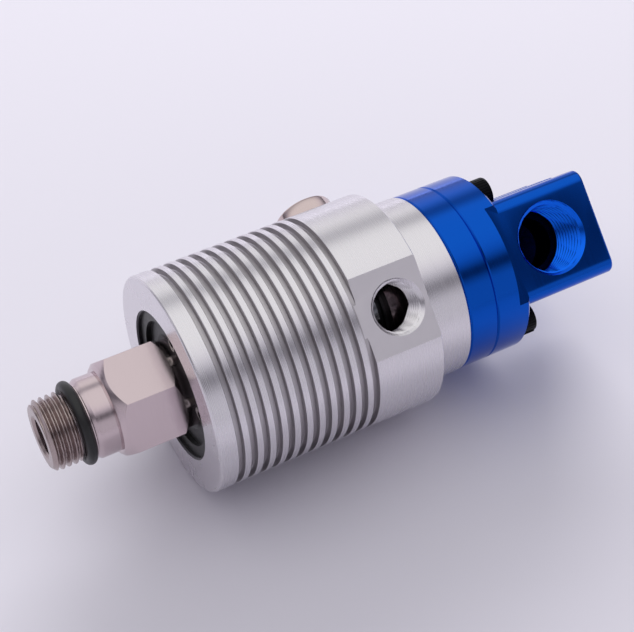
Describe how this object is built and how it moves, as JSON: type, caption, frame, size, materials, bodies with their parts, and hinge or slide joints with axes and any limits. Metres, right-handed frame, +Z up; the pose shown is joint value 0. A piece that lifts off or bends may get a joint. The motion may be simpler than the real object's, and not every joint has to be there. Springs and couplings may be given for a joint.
{
  "type": "hydraulic rotary union",
  "caption": "Hydraulic rotary union: threaded hollow rotor with hexagon, ribbed aluminium housing with drain ports, blue end cap with a side inlet.",
  "frame": {"origin": "on the turning axis at the hexagon's front shoulder, the face that seats against the machine spindle", "axes": "+X along the turning axis from the threaded nose towards the end cap, +Z up as it lies"},
  "size_m": [0.132, 0.0538, 0.05],
  "materials": {
    "stainless": "turned, satin",
    "bearing_steel": "ground",
    "spring_steel": "blackened",
    "housing_aluminium": "turned, fine lathe lines",
    "blue_anodised": "blue anodised",
    "black_rubber": "matt",
    "black_oxide_steel": "black oxide",
    "carbon_graphite": "lapped",
    "carbide": "lapped",
    "cage_polymer": "moulded",
    "plated_steel": "nickel plated",
    "soft_washer": "annealed"
  },
  "bodies": {
    "housing": {"housing": "housing_aluminium", "mouth_circlip": "spring_steel", "dust_seal": "black_rubber", "garter_spring": "spring_steel", "front_bearing_outer": "bearing_steel", "rear_bearing_outer": "bearing_steel", "outer_spacer": "bearing_steel", "front_bearing_shields": "black_rubber", "rear_bearing_shields": "black_rubber", "adapter_ring": "blue_anodised", "adapter_oring": "black_rubber", "carrier_oring": "black_rubber", "cap_oring": "black_rubber", "drive_pins": "bearing_steel", "end_cap": "blue_anodised", "cap_screws": "black_oxide_steel", "drain_plug": "plated_steel", "plug_washer": "soft_washer"},
    "rotor": {"rotor": "stainless", "nose_oring": "black_rubber", "front_bearing_inner": "bearing_steel", "rear_bearing_inner": "bearing_steel", "inner_spacer": "bearing_steel", "tab_washer": "bearing_steel", "locknut": "bearing_steel", "rotating_seal_ring": "carbide", "spigot_oring": "black_rubber"},
    "front_ball_train": {"front_bearing_balls": "bearing_steel", "front_bearing_cage": "cage_polymer"},
    "rear_ball_train": {"rear_bearing_balls": "bearing_steel", "rear_bearing_cage": "cage_polymer"},
    "seal_carrier": {"seal_carrier": "stainless", "carbon_ring": "carbon_graphite", "carrier_springs": "spring_steel"}
  },
  "joints": [
    {"name": "rotor_spin", "type": "hinge", "parent": "housing", "child": "rotor", "pos_m": [0, 0, 0], "axis": [1, 0, 0], "continuous": true},
    {"name": "front_ball_train_spin", "type": "hinge", "parent": "housing", "child": "front_ball_train", "pos_m": [0.0261, 0, 0], "axis": [1, 0, 0], "continuous": true},
    {"name": "rear_ball_train_spin", "type": "hinge", "parent": "housing", "child": "rear_ball_train", "pos_m": [0.0421, 0, 0], "axis": [1, 0, 0], "continuous": true},
    {"name": "carrier_float", "type": "slide", "parent": "housing", "child": "seal_carrier", "axis": [1, 0, 0], "range_m": [0, 0.0006], "stiffness_N_per_m": 3000, "springref_m": -0.004}
  ],
  "couplings": [
    {"joint": "front_ball_train_spin", "follows": "rotor_spin", "ratio": 0.40667},
    {"joint": "rear_ball_train_spin", "follows": "rotor_spin", "ratio": 0.40667}
  ]
}
